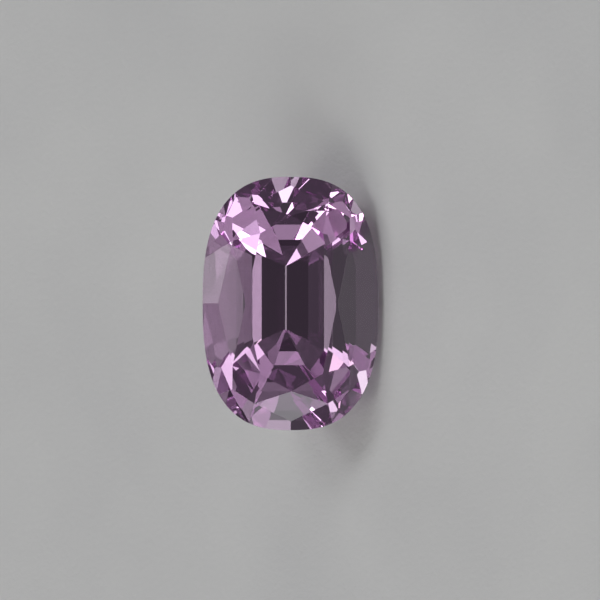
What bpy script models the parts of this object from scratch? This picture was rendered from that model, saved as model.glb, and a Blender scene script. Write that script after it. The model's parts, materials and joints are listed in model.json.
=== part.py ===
"""A cut kunzite gemstone: elongated cushion outline, brilliant crown, stepped and keeled pavilion.

The stone is cut the way a faceter cuts it. A block with the girdle's outline is the preform, and each
facet is one flat cut through it, set by the points it passes through or by its angle from the girdle
plane and its bearing. The cuts are made in the stone's own frame: the table is up, the width lies along
X, the length along Y, and the middle of the girdle is at height zero. A bearing is counted from the
width. The finished stone is then laid down on the flank that it comes to rest on.
"""
import math

import bmesh
import bpy
from mathutils import Matrix, Vector

# Units: the cutting is done in millimetres and degrees
MILLIMETRE = 0.001

# Girdle outline
STONE_LENGTH = 12.0
STONE_WIDTH = 8.33
OUTLINE_POWER = 2.65
OUTLINE_STEPS = 128
GIRDLE_HALF_THICKNESS = 0.13

# Crown: heights above the middle of the girdle, and the points where its facets meet
CROWN_HEIGHT = 1.17
MAIN_TIP_HEIGHT = 0.23
TABLE_LENGTH = 8.32
TABLE_WIDTH = 4.35
TABLE_CORNER = (1.485, 3.32)
SIDE_STAR_TIP = (2.78, 2.97)
END_STAR_TIP = (1.75, 4.73)

# Bearings at which the upper girdle facets touch the girdle, beside each star tip
SIDE_TIP_BEARINGS = (15.3, 36.5)
END_TIP_BEARINGS = (61.9, 81.7)

# Pavilion: its lowest line is a short keel along the length, a little off the middle
PAVILION_DEPTH = 4.8
KEEL_X = -0.12
KEEL_TOP_Y = 1.78
KEEL_FOOT_Y = -1.21
KEEL_FACET_WIDTH = 0.07
STEP_TIP_DEPTH = 0.23

# Steps outwards from the keel: angle of each, and the distance from the keel where it ends
RIGHT_FLANK_STEPS = ((44.9, 1.77), (47.0, 2.32))
LEFT_FLANK_STEPS = ((42.9, 1.18), (48.6, 1.61))
TOP_END_STEPS = ((42.6, 1.25), (47.5, 2.37))
FOOT_END_STEPS = ((38.4, 1.78), (46.7, 2.71))

# Corner mains: angle and bearing of each
TOP_CORNER_MAINS = ((40.9, 36.1), (43.6, 130.9))
FOOT_CORNER_MAINS = ((40.7, -28.9), (41.5, -140.0))

# Lower girdle facets: bearing at which each touches the girdle, and its angle
TOP_LOWER_GIRDLE = ((20.2, 53.0), (39.9, 57.0), (54.0, 58.6), (74.8, 55.1))
FOOT_LOWER_GIRDLE = ((13.8, 54.6), (39.9, 60.8), (54.0, 54.3), (64.1, 57.0))

# Cuts that pass this close to a corner meet in it
MEETING_TOLERANCE = 0.003

# Material
STONE_NAME = "kunzite_gem"
STONE_COLOUR = (0.62, 0.42, 0.66, 1.0)
STONE_ROUGHNESS = 0.02
STONE_METALLIC = 0.0
STONE_IOR = 1.67

RIGHT = 0.0
TOP = 90.0
LEFT = 180.0
FOOT = -90.0
BOTH_WAYS = (1, -1)


def clear_scene():
    """Remove every object that the file opened with."""
    for thing in list(bpy.data.objects):
        bpy.data.objects.remove(thing, do_unlink=True)


def level_direction(bearing):
    """Level direction of a bearing."""
    turn = math.radians(bearing)
    return Vector((math.cos(turn), math.sin(turn), 0.0))


def outline_point(bearing, height=0.0):
    """Point on the girdle's outline at a bearing, in the first quarter or any other."""
    way = level_direction(bearing)
    reach_x = abs(2 * way.x / STONE_WIDTH) ** OUTLINE_POWER
    reach_y = abs(2 * way.y / STONE_LENGTH) ** OUTLINE_POWER
    point = way * (reach_x + reach_y) ** (-1 / OUTLINE_POWER)
    point.z = height
    return point


def outline_normal(point):
    """Level direction in which the outline faces at a point of its first quarter."""
    steepness = OUTLINE_POWER - 1
    across = (2 * point.x / STONE_WIDTH) ** steepness / STONE_WIDTH
    along = (2 * point.y / STONE_LENGTH) ** steepness / STONE_LENGTH
    return Vector((across, along, 0.0)).normalized()


def mirrored(place, across, along):
    """The same place or direction in another quarter of the stone."""
    return Vector((across * place.x, along * place.y, place.z))


def preform():
    """Block with the girdle's outline, tall enough for the whole stone."""
    block = bmesh.new()
    spacing = 360.0 / OUTLINE_STEPS
    rim = [block.verts.new(outline_point(step * spacing, -PAVILION_DEPTH)) for step in range(OUTLINE_STEPS)]
    underside = block.faces.new(rim)
    raised = bmesh.ops.extrude_face_region(block, geom=[underside])["geom"]
    upper_rim = [item for item in raised if isinstance(item, bmesh.types.BMVert)]
    bmesh.ops.translate(block, verts=upper_rim, vec=(0.0, 0.0, PAVILION_DEPTH + CROWN_HEIGHT))
    bmesh.ops.recalc_face_normals(block, faces=block.faces)
    return block


def cut(stone, direction, point):
    """Grind one flat facet: take away what lies beyond a plane and close the stone there."""
    result = bmesh.ops.bisect_plane(
        stone,
        geom=stone.verts[:] + stone.edges[:] + stone.faces[:],
        dist=MEETING_TOLERANCE,
        plane_co=point,
        plane_no=direction,
        clear_outer=True,
    )
    cut_edges = [item for item in result["geom_cut"] if isinstance(item, bmesh.types.BMEdge)]
    open_edges = [edge for edge in cut_edges if edge.is_boundary]
    bmesh.ops.holes_fill(stone, edges=open_edges, sides=0)


def cut_crown(stone, first, second, third):
    """Grind one crown facet through three points."""
    direction = (second - first).cross(third - first).normalized()
    if direction.z < 0:
        direction.negate()
    cut(stone, direction, first)


def cut_pavilion(stone, angle, level, point):
    """Grind one pavilion facet with its angle from the girdle plane, facing a level direction."""
    slope = math.radians(angle)
    direction = level * math.sin(slope)
    direction.z = -math.cos(slope)
    cut(stone, direction, point)


def cut_steps(stone, steps, start, bearing):
    """Grind the steps from the keel outwards, and a last one that closes on the girdle."""
    outward = level_direction(bearing)
    place = start.copy()
    reached = 0.0
    for angle, end in steps:
        cut_pavilion(stone, angle, outward, place)
        run = end - reached
        place += outward * run
        place.z += run * math.tan(math.radians(angle))
        reached = end
    rim = outline_point(bearing, -STEP_TIP_DEPTH)
    closing_run = (rim - place).dot(outward)
    closing_angle = math.degrees(math.atan2(rim.z - place.z, closing_run))
    cut_pavilion(stone, closing_angle, outward, rim)


def cut_lower_girdle(stone, facets, along):
    """Grind the steep facets that bring both corners of one end in to the girdle."""
    for bearing, angle in facets:
        rim = outline_point(bearing, -GIRDLE_HALF_THICKNESS)
        outward = outline_normal(rim)
        for across in BOTH_WAYS:
            cut_pavilion(stone, angle, mirrored(outward, across, along), mirrored(rim, across, along))


def cut_keel(stone):
    """Polish the narrow flat facet along the keel."""
    lift = KEEL_FACET_WIDTH * math.tan(math.radians(RIGHT_FLANK_STEPS[0][0])) / 2
    cut(stone, Vector((0.0, 0.0, -1.0)), Vector((KEEL_X, 0.0, lift - PAVILION_DEPTH)))


def cut_pavilion_facets(stone):
    """Grind the whole pavilion."""
    keel_middle = Vector((KEEL_X, 0.0, -PAVILION_DEPTH))
    keel_top = Vector((KEEL_X, KEEL_TOP_Y, -PAVILION_DEPTH))
    keel_foot = Vector((KEEL_X, KEEL_FOOT_Y, -PAVILION_DEPTH))
    cut_steps(stone, RIGHT_FLANK_STEPS, keel_middle, RIGHT)
    cut_steps(stone, LEFT_FLANK_STEPS, keel_middle, LEFT)
    cut_steps(stone, TOP_END_STEPS, keel_top, TOP)
    cut_steps(stone, FOOT_END_STEPS, keel_foot, FOOT)
    for angle, bearing in TOP_CORNER_MAINS:
        cut_pavilion(stone, angle, level_direction(bearing), keel_top)
    for angle, bearing in FOOT_CORNER_MAINS:
        cut_pavilion(stone, angle, level_direction(bearing), keel_foot)
    cut_lower_girdle(stone, TOP_LOWER_GIRDLE, 1)
    cut_lower_girdle(stone, FOOT_LOWER_GIRDLE, -1)
    cut_keel(stone)


def main_height(reach, table_reach, girdle_reach):
    """Height of a crown main at some distance from the middle of the stone."""
    rise = CROWN_HEIGHT - MAIN_TIP_HEIGHT
    return MAIN_TIP_HEIGHT + rise * (girdle_reach - reach) / (girdle_reach - table_reach)


def upper_girdle_facets(tip, bearings):
    """Upper girdle facets beside one star tip: the tip and two points of the girdle's tangent each."""
    facets = []
    for bearing in bearings:
        rim = outline_point(bearing, GIRDLE_HALF_THICKNESS)
        normal = outline_normal(rim)
        tangent = Vector((-normal.y, normal.x, 0.0))
        facets.append((tip, rim, rim + tangent))
    return facets


def cut_crown_facets(stone):
    """Grind the mains, the stars and the upper girdle facets around the table."""
    side_vertex = Vector((TABLE_WIDTH / 2, 0.0, CROWN_HEIGHT))
    end_vertex = Vector((0.0, TABLE_LENGTH / 2, CROWN_HEIGHT))
    corner = Vector((*TABLE_CORNER, CROWN_HEIGHT))
    side_tip_height = main_height(SIDE_STAR_TIP[0], TABLE_WIDTH / 2, STONE_WIDTH / 2)
    side_tip = Vector((*SIDE_STAR_TIP, side_tip_height))
    end_tip_height = main_height(END_STAR_TIP[1], TABLE_LENGTH / 2, STONE_LENGTH / 2)
    end_tip = Vector((*END_STAR_TIP, end_tip_height))
    quarter = [
        (side_vertex, side_tip, mirrored(side_tip, 1, -1)),
        (end_vertex, end_tip, mirrored(end_tip, -1, 1)),
        (corner, side_tip, end_tip),
        (side_vertex, corner, side_tip),
        (end_vertex, corner, end_tip),
    ]
    quarter += upper_girdle_facets(side_tip, SIDE_TIP_BEARINGS)
    quarter += upper_girdle_facets(end_tip, END_TIP_BEARINGS)
    for across in BOTH_WAYS:
        for along in BOTH_WAYS:
            for facet in quarter:
                cut_crown(stone, *(mirrored(point, across, along) for point in facet))


def lay_down(stone):
    """Tip the stone over onto the second step of its right flank, and stand it on height zero."""
    tip_over = Matrix.Rotation(math.radians(RIGHT_FLANK_STEPS[1][0]), 3, "Y")
    bmesh.ops.rotate(stone, cent=(0.0, 0.0, 0.0), matrix=tip_over, verts=stone.verts)
    lowest = Vector(min(vertex.co[axis] for vertex in stone.verts) for axis in range(3))
    highest = Vector(max(vertex.co[axis] for vertex in stone.verts) for axis in range(3))
    middle = (lowest + highest) / 2
    bmesh.ops.translate(stone, verts=stone.verts, vec=(-middle.x, -middle.y, -lowest.z))


def stone_material():
    """Clear lilac stone."""
    material = bpy.data.materials.new(STONE_NAME)
    material.use_nodes = True
    surface = material.node_tree.nodes["Principled BSDF"].inputs
    surface["Base Color"].default_value = STONE_COLOUR
    surface["Roughness"].default_value = STONE_ROUGHNESS
    surface["Metallic"].default_value = STONE_METALLIC
    surface["IOR"].default_value = STONE_IOR
    surface["Transmission Weight"].default_value = 1.0
    return material


def build_stone():
    """Cut the stone, lay it down and give it its material."""
    stone = preform()
    cut_pavilion_facets(stone)
    cut_crown_facets(stone)
    lay_down(stone)
    bmesh.ops.scale(stone, vec=(MILLIMETRE, MILLIMETRE, MILLIMETRE), verts=stone.verts)
    bmesh.ops.recalc_face_normals(stone, faces=stone.faces)
    mesh = bpy.data.meshes.new(STONE_NAME)
    stone.to_mesh(mesh)
    stone.free()
    mesh.materials.append(stone_material())
    bpy.context.scene.collection.objects.link(bpy.data.objects.new(STONE_NAME, mesh))


clear_scene()
build_stone()
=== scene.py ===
"""Studio picture of a cut kunzite: a lilac stone lying on its flank on a pale board.

The stone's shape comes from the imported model. This script polishes it, gives it the optics of clear
kunzite, lays the board under it, and sets the lights and the camera around the stone's own table.
"""
from __future__ import annotations

import json
import logging
import math
from dataclasses import dataclass
from enum import Enum

import bmesh
import bpy
from mathutils import Matrix, Vector

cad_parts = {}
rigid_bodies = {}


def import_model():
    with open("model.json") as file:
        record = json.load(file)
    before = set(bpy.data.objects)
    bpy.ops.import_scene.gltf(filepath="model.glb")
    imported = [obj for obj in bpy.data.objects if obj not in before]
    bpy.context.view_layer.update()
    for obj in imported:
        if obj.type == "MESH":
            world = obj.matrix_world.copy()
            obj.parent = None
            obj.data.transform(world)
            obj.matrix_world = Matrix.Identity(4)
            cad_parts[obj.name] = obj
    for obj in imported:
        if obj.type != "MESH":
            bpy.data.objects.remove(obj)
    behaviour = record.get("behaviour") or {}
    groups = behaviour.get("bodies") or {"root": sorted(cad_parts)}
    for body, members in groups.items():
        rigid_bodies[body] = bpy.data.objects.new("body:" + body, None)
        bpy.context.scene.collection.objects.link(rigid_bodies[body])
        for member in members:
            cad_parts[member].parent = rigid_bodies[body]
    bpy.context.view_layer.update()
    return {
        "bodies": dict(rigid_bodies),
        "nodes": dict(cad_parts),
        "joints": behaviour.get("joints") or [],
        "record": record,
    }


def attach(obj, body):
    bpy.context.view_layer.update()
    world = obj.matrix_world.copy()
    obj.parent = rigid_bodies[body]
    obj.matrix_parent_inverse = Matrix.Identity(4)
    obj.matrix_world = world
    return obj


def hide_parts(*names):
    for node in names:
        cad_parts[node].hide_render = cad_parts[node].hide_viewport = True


LOG = logging.getLogger("kunzite")
MILLIMETRE = 0.001

# Side of the square picture, in pixels
IMAGE_SIDE = 600

Colour = tuple[float, float, float, float]
Range = tuple[float, float]

# Values between which most of a cloudy pattern lies
CLOUD_RANGE: Range = (0.3, 0.7)


class StoneZone(Enum):
    """Parts of the stone's surface, by the slot their finish goes in."""

    POLISHED = 0
    GIRDLE = 1


def blank_finish(name: str) -> bpy.types.Material:
    """Make a material that holds a Principled surface and nothing else.

    Args:
        name: Name of the material.

    Returns:
        The material.
    """
    material = bpy.data.materials.new(name)
    material.use_nodes = True
    return material


def remap(
    material: bpy.types.Material,
    source: bpy.types.NodeSocket,
    from_range: Range,
    to_range: Range,
) -> bpy.types.NodeSocket:
    """Stretch one range of a pattern onto another.

    Args:
        material: Material that the pattern is in.
        source: Output of the pattern.
        from_range: Values of the pattern that count, low and high.
        to_range: What they become.

    Returns:
        The stretched output.
    """
    node = material.node_tree.nodes.new("ShaderNodeMapRange")
    node.inputs["From Min"].default_value = from_range[0]
    node.inputs["From Max"].default_value = from_range[1]
    node.inputs["To Min"].default_value = to_range[0]
    node.inputs["To Max"].default_value = to_range[1]
    material.node_tree.links.new(source, node.inputs["Value"])
    return node.outputs["Result"]


def noise(material: bpy.types.Material, scale: float, detail: float) -> bpy.types.NodeSocket:
    """Lay a cloudy pattern over the piece.

    Args:
        material: Material that the pattern goes in.
        scale: Clouds to a metre.
        detail: Finer layers in each cloud.

    Returns:
        The pattern's strength.
    """
    tree = material.node_tree
    place = tree.nodes.new("ShaderNodeTexCoord")
    cloud = tree.nodes.new("ShaderNodeTexNoise")
    cloud.inputs["Scale"].default_value = scale
    cloud.inputs["Detail"].default_value = detail
    tree.links.new(place.outputs["Object"], cloud.inputs["Vector"])
    return cloud.outputs["Fac"]


def raise_surface(material: bpy.types.Material, height: bpy.types.NodeSocket, depth: float) -> None:
    """Let a pattern stand proud of the surface.

    Args:
        material: Material that the pattern is in.
        height: Output of the pattern.
        depth: Height of its full strength, in metres.
    """
    tree = material.node_tree
    bump = tree.nodes.new("ShaderNodeBump")
    bump.inputs["Distance"].default_value = depth
    tree.links.new(height, bump.inputs["Height"])
    tree.links.new(bump.outputs["Normal"], tree.nodes["Principled BSDF"].inputs["Normal"])


@dataclass(frozen=True)
class KunziteOptics:
    """How kunzite bends light and takes colour from it.

    The clarity is the share of light that goes through the surface. The rest is scattered by it. The depth
    strength is the absorption in a metre, of the colours that the depth colour leaves out.
    """

    index: float = 1.67
    clarity: float = 1.0
    surface_tint: Colour = (0.99, 0.97, 0.99, 1.0)
    depth_colour: Colour = (0.80, 0.0, 0.81, 1.0)
    depth_strength: float = 40.0

    def apply(self, material: bpy.types.Material) -> None:
        """Make a material's surface clear and its depth lilac.

        Args:
            material: Material to change.
        """
        tree = material.node_tree
        surface = tree.nodes["Principled BSDF"].inputs
        surface["Base Color"].default_value = self.surface_tint
        surface["IOR"].default_value = self.index
        surface["Transmission Weight"].default_value = self.clarity
        depth = tree.nodes.new("ShaderNodeVolumeAbsorption")
        depth.inputs["Color"].default_value = self.depth_colour
        depth.inputs["Density"].default_value = self.depth_strength
        tree.links.new(depth.outputs["Volume"], tree.nodes["Material Output"].inputs["Volume"])


@dataclass(frozen=True)
class PolishedFacet:
    """Polished facet with faint handling marks and a few specks of dust."""

    optics: KunziteOptics = KunziteOptics()
    smudge_scale: float = 900.0
    smudge_detail: float = 3.0
    smudge_range: Range = (0.5, 0.8)
    smudge_roughness: float = 0.02
    speck_spacing: float = 0.75 * MILLIMETRE
    speck_radius: float = 0.022 * MILLIMETRE
    speck_core: float = 0.5
    speck_share: float = 0.16
    speck_roughness: float = 0.55

    def material(self, name: str) -> bpy.types.Material:
        """Make the finish.

        Args:
            name: Name of the material.

        Returns:
            A clear material, duller in the smudges and dull in the specks.
        """
        material = blank_finish(name)
        self.optics.apply(material)
        tree = material.node_tree
        cloud = noise(material, self.smudge_scale, self.smudge_detail)
        smudge = remap(material, cloud, self.smudge_range, (0.0, self.smudge_roughness))
        dullest = tree.nodes.new("ShaderNodeMath")
        dullest.operation = "MAXIMUM"
        tree.links.new(smudge, dullest.inputs[0])
        tree.links.new(self.specks(material), dullest.inputs[1])
        tree.links.new(dullest.outputs["Value"], tree.nodes["Principled BSDF"].inputs["Roughness"])
        return material

    def specks(self, material: bpy.types.Material) -> bpy.types.NodeSocket:
        """Scatter dust over the facets.

        Args:
            material: Material that the dust goes in.

        Returns:
            Roughness that is zero outside the specks.
        """
        tree = material.node_tree
        place = tree.nodes.new("ShaderNodeTexCoord")
        cells = tree.nodes.new("ShaderNodeTexVoronoi")
        cells.inputs["Scale"].default_value = 1 / self.speck_spacing
        tree.links.new(place.outputs["Object"], cells.inputs["Vector"])
        reach = self.speck_radius / self.speck_spacing
        speck = (reach * self.speck_core, reach)
        inside = remap(material, cells.outputs["Distance"], speck, (self.speck_roughness, 0.0))
        chosen = tree.nodes.new("ShaderNodeMath")
        chosen.operation = "LESS_THAN"
        chosen.inputs[1].default_value = self.speck_share
        tree.links.new(cells.outputs["Color"], chosen.inputs[0])
        dust = tree.nodes.new("ShaderNodeMath")
        dust.operation = "MULTIPLY"
        tree.links.new(inside, dust.inputs[0])
        tree.links.new(chosen.outputs["Value"], dust.inputs[1])
        return dust.outputs["Value"]


@dataclass(frozen=True)
class GroundGirdle:
    """Finely ground girdle, frosted beside the polished facets."""

    optics: KunziteOptics = KunziteOptics(clarity=0.4, surface_tint=(0.88, 0.80, 0.88, 1.0))
    grit_scale: float = 9000.0
    grit_detail: float = 2.0
    grit_height: float = 0.004 * MILLIMETRE
    roughness: Range = (0.2, 0.36)

    def material(self, name: str) -> bpy.types.Material:
        """Make the finish.

        Args:
            name: Name of the material.

        Returns:
            A frosted material with a fine ground surface.
        """
        material = blank_finish(name)
        self.optics.apply(material)
        grit = noise(material, self.grit_scale, self.grit_detail)
        dullness = remap(material, grit, CLOUD_RANGE, self.roughness)
        surface = material.node_tree.nodes["Principled BSDF"]
        material.node_tree.links.new(dullness, surface.inputs["Roughness"])
        raise_surface(material, grit, self.grit_height)
        return material


@dataclass(frozen=True)
class PaleBoardFinish:
    """Plain pale matt card with a faint tooth."""

    light: Colour = (0.60, 0.60, 0.595, 1.0)
    shaded: Colour = (0.565, 0.565, 0.565, 1.0)
    mottle_scale: float = 90.0
    mottle_range: Range = (0.35, 0.65)
    tooth_scale: float = 3500.0
    tooth_height: float = 0.03 * MILLIMETRE
    roughness: Range = (0.62, 0.8)
    detail: float = 4.0

    def material(self, name: str) -> bpy.types.Material:
        """Make the finish.

        Args:
            name: Name of the material.

        Returns:
            A matt material with a slight mottle and tooth.
        """
        material = blank_finish(name)
        tree = material.node_tree
        surface = tree.nodes["Principled BSDF"]
        cloud = noise(material, self.mottle_scale, self.detail)
        mottle = remap(material, cloud, self.mottle_range, (0.0, 1.0))
        tone = tree.nodes.new("ShaderNodeMix")
        tone.data_type = "RGBA"
        tone.inputs["A"].default_value = self.shaded
        tone.inputs["B"].default_value = self.light
        tree.links.new(mottle, tone.inputs["Factor"])
        tree.links.new(tone.outputs["Result"], surface.inputs["Base Color"])
        tooth = noise(material, self.tooth_scale, self.detail)
        tree.links.new(remap(material, tooth, CLOUD_RANGE, self.roughness), surface.inputs["Roughness"])
        raise_surface(material, tooth, self.tooth_height)
        return material


@dataclass(frozen=True)
class TableFrame:
    """Directions of the cut stone as it lies: across, along and out through its table."""

    centre: Vector
    across: Vector
    along: Vector
    outward: Vector

    @classmethod
    def from_record(cls, record: dict) -> TableFrame:
        """Read the stone's directions from its table mount. Its length lies along Y.

        Args:
            record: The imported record.

        Returns:
            The frame of the table.
        """
        table = next(mount for mount in record["mounts"] if mount["name"] == "table")
        outward = Vector(table["axis"]).normalized()
        along = Vector((0.0, 1.0, 0.0))
        across = along.cross(outward).normalized()
        return cls(Vector(table["pos_m"]), across, along, outward)

    def way(self, lean: float, bearing: float) -> Vector:
        """Direction that leans off the table's normal.

        Args:
            lean: Degrees off the normal.
            bearing: Degrees round it, counted from the stone's right-hand side.

        Returns:
            A unit direction.
        """
        turn = math.radians(bearing)
        flat = self.across * math.cos(turn) + self.along * math.sin(turn)
        return self.outward * math.cos(math.radians(lean)) + flat * math.sin(math.radians(lean))


@dataclass
class CutStone:
    """The polished stone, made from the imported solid.

    The flatness is the turn, in degrees, under which neighbouring triangles belong to one facet. The girdle
    band is how little a face may lean in or out to count as girdle.
    """

    node: str = "kunzite_gem"
    piece_name: str = "kunzite_polished"
    weld_gap: float = 0.001 * MILLIMETRE
    flatness: float = 0.15
    edge_wear: float = 0.008 * MILLIMETRE
    girdle_band: float = 0.08
    polish: PolishedFacet = PolishedFacet()
    ground: GroundGirdle = GroundGirdle()

    def build(self, frame: dict, table: TableFrame) -> bpy.types.Object:
        """Weld, wear and dress the stone.

        Args:
            table: The stone's directions.

        Returns:
            The finished piece.
        """
        shape = bmesh.new()
        shape.from_mesh(frame["nodes"][self.node].data)
        self.weld(shape)
        self.wear_edges(shape)
        self.mark_zones(shape, table)
        mesh = bpy.data.meshes.new(self.piece_name)
        shape.to_mesh(mesh)
        shape.free()
        stone = bpy.data.objects.new(self.piece_name, mesh)
        bpy.context.scene.collection.objects.link(stone)
        self.dress(stone)
        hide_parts(self.node)
        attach(stone, "root")
        return stone

    def weld(self, shape: bmesh.types.BMesh) -> None:
        """Join the loose triangles and bring back the whole flat facets.

        Args:
            shape: The stone's mesh.
        """
        bmesh.ops.remove_doubles(shape, verts=shape.verts, dist=self.weld_gap)
        bmesh.ops.dissolve_limit(
            shape,
            angle_limit=math.radians(self.flatness),
            verts=shape.verts,
            edges=shape.edges,
            use_dissolve_boundaries=False,
        )

    def wear_edges(self, shape: bmesh.types.BMesh) -> None:
        """Take the knife edge off every facet edge.

        Args:
            shape: The stone's mesh.
        """
        bmesh.ops.bevel(
            shape,
            geom=shape.edges[:],
            offset=self.edge_wear,
            segments=1,
            profile=0.5,
            affect="EDGES",
            material=-1,
            clamp_overlap=True,
        )

    def mark_zones(self, shape: bmesh.types.BMesh, table: TableFrame) -> None:
        """Give the upright girdle faces their own slot.

        Args:
            shape: The stone's mesh.
            table: The stone's directions.
        """
        for face in shape.faces:
            upright = abs(face.normal.dot(table.outward)) < self.girdle_band
            zone = StoneZone.GIRDLE if upright else StoneZone.POLISHED
            face.material_index = zone.value
            face.smooth = False

    def dress(self, stone: bpy.types.Object) -> None:
        """Put the finishes in their slots, in the order of the zones."""
        stone.data.materials.append(self.polish.material("kunzite_polish"))
        stone.data.materials.append(self.ground.material("kunzite_girdle"))


@dataclass
class Board:
    """The plain surface under the stone."""

    half_side: float = 1.5
    air_gap: float = 0.01 * MILLIMETRE
    finish: PaleBoardFinish = PaleBoardFinish()

    def build(self) -> bpy.types.Object:
        """Lay the board under the stone, with a film of air between the two.

        Returns:
            The board.
        """
        shape = bmesh.new()
        bmesh.ops.create_grid(shape, x_segments=1, y_segments=1, size=self.half_side)
        bmesh.ops.translate(shape, vec=(0.0, 0.0, -self.air_gap), verts=shape.verts)
        mesh = bpy.data.meshes.new("pale_board")
        shape.to_mesh(mesh)
        shape.free()
        board = bpy.data.objects.new("pale_board", mesh)
        board.data.materials.append(self.finish.material("pale_board"))
        bpy.context.scene.collection.objects.link(board)
        return board


class LampTint(Enum):
    """Colours of lamp light."""

    PLAIN = (1.0, 1.0, 1.0)
    WARM = (1.05, 1.0, 0.95)
    COOL = (0.98, 1.0, 1.02)


@dataclass(frozen=True)
class Softbox:
    """One soft round lamp, hung around the stone's table.

    Its place is the lean off the table's normal and the bearing round it. Its size is the half angle under
    which the stone sees it. All three are in degrees. The brightness is that of its face.
    """

    name: str
    lean: float
    bearing: float
    half_angle: float
    brightness: float
    tint: LampTint = LampTint.PLAIN
    distance: float = 1.0

    def build(self, table: TableFrame) -> None:
        """Hang the lamp and aim it at the stone.

        Args:
            table: The stone's directions.
        """
        way = table.way(self.lean, self.bearing)
        data = bpy.data.lights.new(self.name, "AREA")
        data.shape = "DISK"
        data.size = 2 * self.distance * math.tan(math.radians(self.half_angle))
        face = math.pi * (data.size / 2) ** 2
        data.energy = self.brightness * math.pi * face
        data.color = self.tint.value
        lamp = bpy.data.objects.new(self.name, data)
        lamp.location = table.centre + way * self.distance
        lamp.rotation_mode = "QUATERNION"
        lamp.rotation_quaternion = (-way).to_track_quat("-Z", "Y")
        bpy.context.scene.collection.objects.link(lamp)


@dataclass(frozen=True)
class Room:
    """Even soft room light, with the dark of the camera and its shade above the table.

    The shade is fully dark inside its half angle and fades out over the next few degrees.
    """

    glow: Colour = (0.060, 0.060, 0.062, 1.0)
    shade: Colour = (0.035, 0.035, 0.036, 1.0)
    shade_half_angle: float = 5.9
    shade_fade: float = 6.0

    def build(self, shade_way: Vector) -> None:
        """Light the room.

        Args:
            shade_way: Direction from the stone to the camera.
        """
        world = bpy.data.worlds.new("soft_room")
        world.use_nodes = True
        tree = world.node_tree
        look = tree.nodes.new("ShaderNodeTexCoord")
        near = tree.nodes.new("ShaderNodeVectorMath")
        near.operation = "DOT_PRODUCT"
        near.inputs[1].default_value = shade_way
        tree.links.new(look.outputs["Generated"], near.inputs[0])
        fade = tree.nodes.new("ShaderNodeMapRange")
        fade.interpolation_type = "SMOOTHSTEP"
        outer_edge = self.shade_half_angle + self.shade_fade
        fade.inputs["From Min"].default_value = math.cos(math.radians(outer_edge))
        fade.inputs["From Max"].default_value = math.cos(math.radians(self.shade_half_angle))
        tree.links.new(near.outputs["Value"], fade.inputs["Value"])
        tone = tree.nodes.new("ShaderNodeMix")
        tone.data_type = "RGBA"
        tone.inputs["A"].default_value = self.glow
        tone.inputs["B"].default_value = self.shade
        tree.links.new(fade.outputs["Result"], tone.inputs["Factor"])
        tree.links.new(tone.outputs["Result"], tree.nodes["Background"].inputs["Color"])
        bpy.context.scene.world = world


@dataclass
class Studio:
    """The room and the lamps in it."""

    room: Room = Room()
    lamps: tuple[Softbox, ...] = (
        Softbox("high_left_strip", 17.0, 180.0, 3.5, 0.7),
        Softbox("high_foot_fill", 19.0, 276.0, 5.0, 0.32),
        Softbox("left_fill", 44.0, 180.0, 9.0, 0.7),
        Softbox("left_key", 54.0, 172.0, 8.0, 2.1),
        Softbox("left_foot_key", 46.0, 201.0, 10.5, 2.0),
        Softbox("left_head_spark", 46.0, 152.0, 4.5, 1.8, LampTint.COOL),
        Softbox("head_window", 61.0, 138.0, 10.0, 4.2, LampTint.COOL),
        Softbox("low_head_window", 74.0, 159.0, 9.0, 5.0, LampTint.COOL),
        Softbox("back_head_glow", 96.0, 139.0, 15.0, 1.0),
        Softbox("head_fill", 66.0, 107.0, 12.0, 1.1),
        Softbox("head_right_spark", 52.0, 66.0, 5.0, 1.2, LampTint.WARM),
        Softbox("low_left_lamp", 68.0, 212.0, 10.0, 3.2, LampTint.WARM),
        Softbox("foot_key", 48.0, 236.0, 11.0, 2.6),
        Softbox("foot_spark", 54.5, 265.5, 7.0, 2.5, LampTint.COOL),
        Softbox("low_foot_window", 77.0, 256.0, 19.0, 1.5, LampTint.COOL),
        Softbox("foot_right_window", 54.0, 301.0, 12.5, 3.0, LampTint.WARM),
    )

    def build(self, table: TableFrame, shade_way: Vector) -> None:
        """Light the room and hang every lamp.

        Args:
            table: The stone's directions.
            shade_way: Direction from the stone to the camera.
        """
        self.room.build(shade_way)
        for lamp in self.lamps:
            lamp.build(table)
            LOG.info("lamp %s hung", lamp.name)


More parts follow.
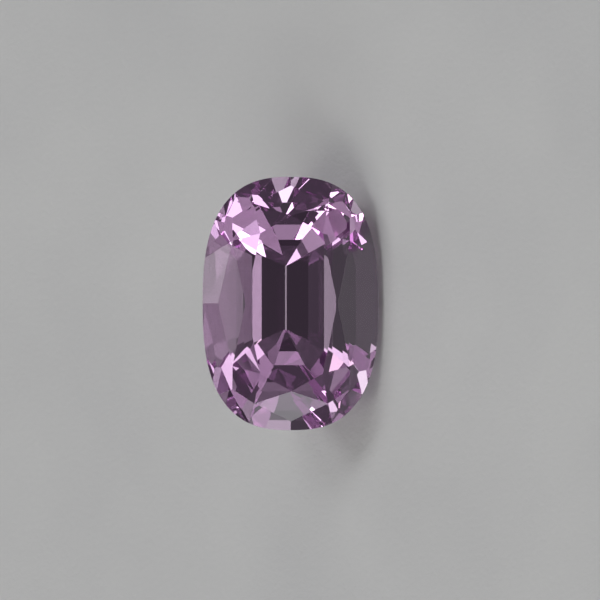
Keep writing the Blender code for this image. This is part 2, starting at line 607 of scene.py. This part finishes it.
@dataclass
class MacroCamera:
    """Long lens nearly square to the table, with the stone's length upright in the picture.

    Its direction is the lean off the table's normal and the bearing round it, in degrees. The stone's pixel
    is where the middle of the girdle stands in the picture, counted from its top left. The crown height is
    that of the table over the middle of the girdle.
    """

    distance: float = 0.8
    lean: float = 2.35
    bearing: float = 180.0
    crown_height: float = 1.17 * MILLIMETRE
    pixels_per_mm: float = 21.1
    stone_pixel: tuple[float, float] = (290.5, 303.5)
    sensor: float = 36.0
    clip_factor: float = 100.0

    def way(self, table: TableFrame) -> Vector:
        """Direction from the stone to the camera."""
        return table.way(self.lean, self.bearing)

    def build(self, table: TableFrame) -> bpy.types.Object:
        """Place the camera by the middle of the girdle, and make it the scene's.

        Args:
            table: The stone's directions.

        Returns:
            The camera.
        """
        way = self.way(table)
        middle = table.centre - table.outward * self.crown_height
        right = table.along.cross(way).normalized()
        up = way.cross(right).normalized()
        turn = Matrix((right, up, way)).transposed()
        metres_per_pixel = MILLIMETRE / self.pixels_per_mm
        aside = (IMAGE_SIDE / 2 - self.stone_pixel[0]) * metres_per_pixel
        above = (self.stone_pixel[1] - IMAGE_SIDE / 2) * metres_per_pixel
        data = bpy.data.cameras.new("macro_camera")
        data.sensor_width = self.sensor
        data.lens = self.sensor * self.distance / (IMAGE_SIDE * metres_per_pixel)
        data.clip_start = self.distance / self.clip_factor
        data.clip_end = self.distance * self.clip_factor
        camera = bpy.data.objects.new("macro_camera", data)
        place = middle + way * self.distance + right * aside + up * above
        camera.matrix_world = Matrix.Translation(place) @ turn.to_4x4()
        bpy.context.scene.collection.objects.link(camera)
        bpy.context.scene.camera = camera
        return camera


@dataclass(frozen=True)
class LightPaths:
    """How often light may bounce inside the stone, and how the picture shows tones."""

    bounces: int = 48
    glossy_bounces: int = 24
    view_transform: str = "Standard"

    def apply(self) -> None:
        """Set them on the scene."""
        cycles = bpy.context.scene.cycles
        cycles.max_bounces = self.bounces
        cycles.transmission_bounces = self.bounces
        cycles.glossy_bounces = self.glossy_bounces
        bpy.context.scene.view_settings.view_transform = self.view_transform


def main() -> None:
    """Build the stone, its board, the lamps and the camera."""
    logging.basicConfig(level=logging.INFO, format="%(name)s: %(message)s")
    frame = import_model()
    table = TableFrame.from_record(frame["record"])
    stone = CutStone().build(frame, table)
    LOG.info("stone %s: %d faces", stone.name, len(stone.data.polygons))
    board = Board().build()
    LOG.info("board %s laid", board.name)
    view = MacroCamera()
    Studio().build(table, view.way(table))
    camera = view.build(table)
    LOG.info("camera %s set", camera.name)
    LightPaths().apply()


if __name__ == "__main__":
    main()
